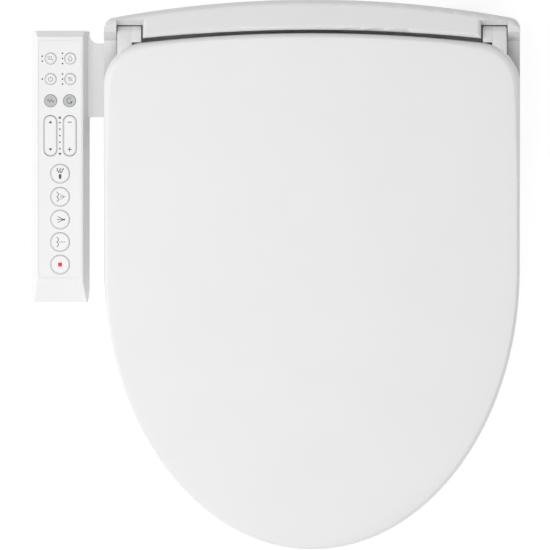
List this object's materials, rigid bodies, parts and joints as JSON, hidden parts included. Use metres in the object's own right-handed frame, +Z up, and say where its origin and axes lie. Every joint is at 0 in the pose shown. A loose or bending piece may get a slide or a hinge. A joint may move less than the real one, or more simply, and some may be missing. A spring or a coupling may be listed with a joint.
{
  "type": "electric bidet seat",
  "caption": "Electric bidet seat: elongated heated seat and domed lid on damped hinges, rear housing with two sliding nozzles and warm-air drier, side control panel.",
  "frame": {"origin": "on the plane of the bowl's rim, midway between the two mounting bolts", "axes": "+X to the right in plan view (a seated user's left), +Y to the back of the toilet, +Z up"},
  "size_m": [0.464, 0.5215, 0.1256],
  "materials": {
    "white_gloss_plastic": "smooth glossy moulded white plastic",
    "white_satin_plastic": "satin moulded white plastic",
    "grey_plastic": "plain grey moulded plastic",
    "key_white": "satin white key cap",
    "key_grey": "satin grey key cap",
    "film": "printed matt film",
    "rubber_white": "soft white rubber",
    "rubber_grey": "soft grey rubber",
    "steel": "bare stainless steel",
    "brass": "machined brass",
    "board_green": "solder mask on fibreglass",
    "dark_plastic": "black plastic",
    "heater_foil": "thin foil",
    "copper": "wound copper",
    "clear_tube": "translucent silicone",
    "light_guide": "dark clear light guide"
  },
  "bodies": {
    "housing": {"housing_base": "white_satin_plastic", "housing_cover": "white_satin_plastic", "housing_screws": "steel", "base_pads": "rubber_grey", "hinge_dampers": "dark_plastic", "nozzle_motors": "steel", "nozzle_cradle": "grey_plastic", "nozzle_feed_pipes": "steel", "water_tank": "dark_plastic", "inlet_valve": "dark_plastic", "inlet_nipple": "brass", "inlet_filter": "steel", "diverter_valve": "grey_plastic", "water_tubes": "clear_tube", "blower_housing": "dark_plastic", "blower_motor": "steel", "dryer_duct": "dark_plastic", "main_circuit_board": "board_green", "board_components": "dark_plastic", "transformer": "copper", "cord_gland": "rubber_grey", "panel_base": "white_satin_plastic", "panel_cover": "white_satin_plastic", "panel_film": "film", "panel_circuit_board": "board_green", "panel_lights": "light_guide", "panel_screws": "steel"},
    "plate": {"mounting_plate": "white_satin_plastic", "plate_pads": "rubber_grey"},
    "seat": {"seat_top": "white_gloss_plastic", "seat_bottom": "white_gloss_plastic", "seat_heater": "heater_foil", "seat_bumpers": "rubber_white", "seat_damper_shaft": "steel", "seat_hinge_bush": "grey_plastic"},
    "lid": {"lid_shell": "white_gloss_plastic", "lid_bumpers": "rubber_white", "lid_damper_shaft": "steel"},
    "wash_arm": {"wash_nozzle": "steel", "wash_nozzle_tip": "white_satin_plastic"},
    "bidet_arm": {"bidet_nozzle": "steel", "bidet_nozzle_tip": "white_satin_plastic"},
    "wash_gear": {"wash_pinion": "grey_plastic"},
    "bidet_gear": {"bidet_pinion": "grey_plastic"},
    "fan": {"blower_fan": "grey_plastic"},
    "flap": {"dryer_flap": "white_satin_plastic"},
    "position_rocker": {"rocker_position": "key_white"},
    "pressure_rocker": {"rocker_pressure": "key_white"},
    "key_seat_heat_cap": {"key_seat_heat": "key_white"},
    "key_water_heat_cap": {"key_water_heat": "key_white"},
    "key_power_cap": {"key_power": "key_white"},
    "key_dryer_heat_cap": {"key_dryer_heat": "key_white"},
    "key_massage_cap": {"key_massage": "key_grey"},
    "key_oscillate_cap": {"key_oscillate": "key_grey"},
    "key_dry_cap": {"key_dry": "key_white"},
    "key_turbo_cap": {"key_turbo": "key_white"},
    "key_bidet_cap": {"key_bidet": "key_white"},
    "key_wash_cap": {"key_wash": "key_white"},
    "key_stop_cap": {"key_stop": "key_white"}
  },
  "joints": [
    {"name": "seat_hinge", "type": "hinge", "parent": "housing", "child": "seat", "pos_m": [0, 0, 0.1106], "axis": [-1, 0, 0], "range_deg": [0, 103]},
    {"name": "lid_hinge", "type": "hinge", "parent": "seat", "child": "lid", "pos_m": [0, 0, 0.1106], "axis": [1, 0, 0], "range_deg": [-105, 0]},
    {"name": "plate_slide", "type": "slide", "parent": "housing", "child": "plate", "axis": [0, 1, 0], "range_m": [0, 0.09]},
    {"name": "wash_nozzle_slide", "type": "slide", "parent": "housing", "child": "wash_arm", "axis": [0, -0.9703, -0.2419], "range_m": [0, 0.08]},
    {"name": "bidet_nozzle_slide", "type": "slide", "parent": "housing", "child": "bidet_arm", "axis": [0, -0.9703, -0.2419], "range_m": [0, 0.08]},
    {"name": "wash_pinion_spin", "type": "hinge", "parent": "housing", "child": "wash_gear", "pos_m": [-0.015, -0.05626, 0.03854], "axis": [-1, 0, 0], "range_deg": [0, 574]},
    {"name": "bidet_pinion_spin", "type": "hinge", "parent": "housing", "child": "bidet_gear", "pos_m": [0.015, -0.05626, 0.03854], "axis": [-1, 0, 0], "range_deg": [0, 574]},
    {"name": "fan_spin", "type": "hinge", "parent": "housing", "child": "fan", "pos_m": [-0.072, 0.004, 0.03], "axis": [0, 0, 1], "continuous": true},
    {"name": "flap_hinge", "type": "hinge", "parent": "housing", "child": "flap", "pos_m": [-0.0855, -0.07075, 0.026], "axis": [-1, 0, 0], "range_deg": [0, 60]},
    {"name": "position_rock", "type": "hinge", "parent": "housing", "child": "position_rocker", "pos_m": [-0.2481, -0.0769, 0.0649], "axis": [1, 0, 0], "range_deg": [-2, 2], "stiffness_Nm_per_rad": 0.4},
    {"name": "pressure_rock", "type": "hinge", "parent": "housing", "child": "pressure_rocker", "pos_m": [-0.2298, -0.0769, 0.0649], "axis": [1, 0, 0], "range_deg": [-2, 2], "stiffness_Nm_per_rad": 0.4},
    {"name": "key_seat_heat_press", "type": "slide", "parent": "housing", "child": "key_seat_heat_cap", "axis": [0, 0, -1], "range_m": [0, 0.0008], "stiffness_N_per_m": 1500},
    {"name": "key_water_heat_press", "type": "slide", "parent": "housing", "child": "key_water_heat_cap", "axis": [0, 0, -1], "range_m": [0, 0.0008], "stiffness_N_per_m": 1500},
    {"name": "key_power_press", "type": "slide", "parent": "housing", "child": "key_power_cap", "axis": [0, 0, -1], "range_m": [0, 0.0008], "stiffness_N_per_m": 1500},
    {"name": "key_dryer_heat_press", "type": "slide", "parent": "housing", "child": "key_dryer_heat_cap", "axis": [0, 0, -1], "range_m": [0, 0.0008], "stiffness_N_per_m": 1500},
    {"name": "key_massage_press", "type": "slide", "parent": "housing", "child": "key_massage_cap", "axis": [0, 0, -1], "range_m": [0, 0.0008], "stiffness_N_per_m": 1500},
    {"name": "key_oscillate_press", "type": "slide", "parent": "housing", "child": "key_oscillate_cap", "axis": [0, 0, -1], "range_m": [0, 0.0008], "stiffness_N_per_m": 1500},
    {"name": "key_dry_press", "type": "slide", "parent": "housing", "child": "key_dry_cap", "axis": [0, 0, -1], "range_m": [0, 0.0008], "stiffness_N_per_m": 1500},
    {"name": "key_turbo_press", "type": "slide", "parent": "housing", "child": "key_turbo_cap", "axis": [0, 0, -1], "range_m": [0, 0.0008], "stiffness_N_per_m": 1500},
    {"name": "key_bidet_press", "type": "slide", "parent": "housing", "child": "key_bidet_cap", "axis": [0, 0, -1], "range_m": [0, 0.0008], "stiffness_N_per_m": 1500},
    {"name": "key_wash_press", "type": "slide", "parent": "housing", "child": "key_wash_cap", "axis": [0, 0, -1], "range_m": [0, 0.0008], "stiffness_N_per_m": 1500},
    {"name": "key_stop_press", "type": "slide", "parent": "housing", "child": "key_stop_cap", "axis": [0, 0, -1], "range_m": [0, 0.0008], "stiffness_N_per_m": 1500}
  ],
  "couplings": [
    {"joint": "wash_pinion_spin", "follows": "wash_nozzle_slide", "rad_per_m": 125},
    {"joint": "bidet_pinion_spin", "follows": "bidet_nozzle_slide", "rad_per_m": 125}
  ]
}
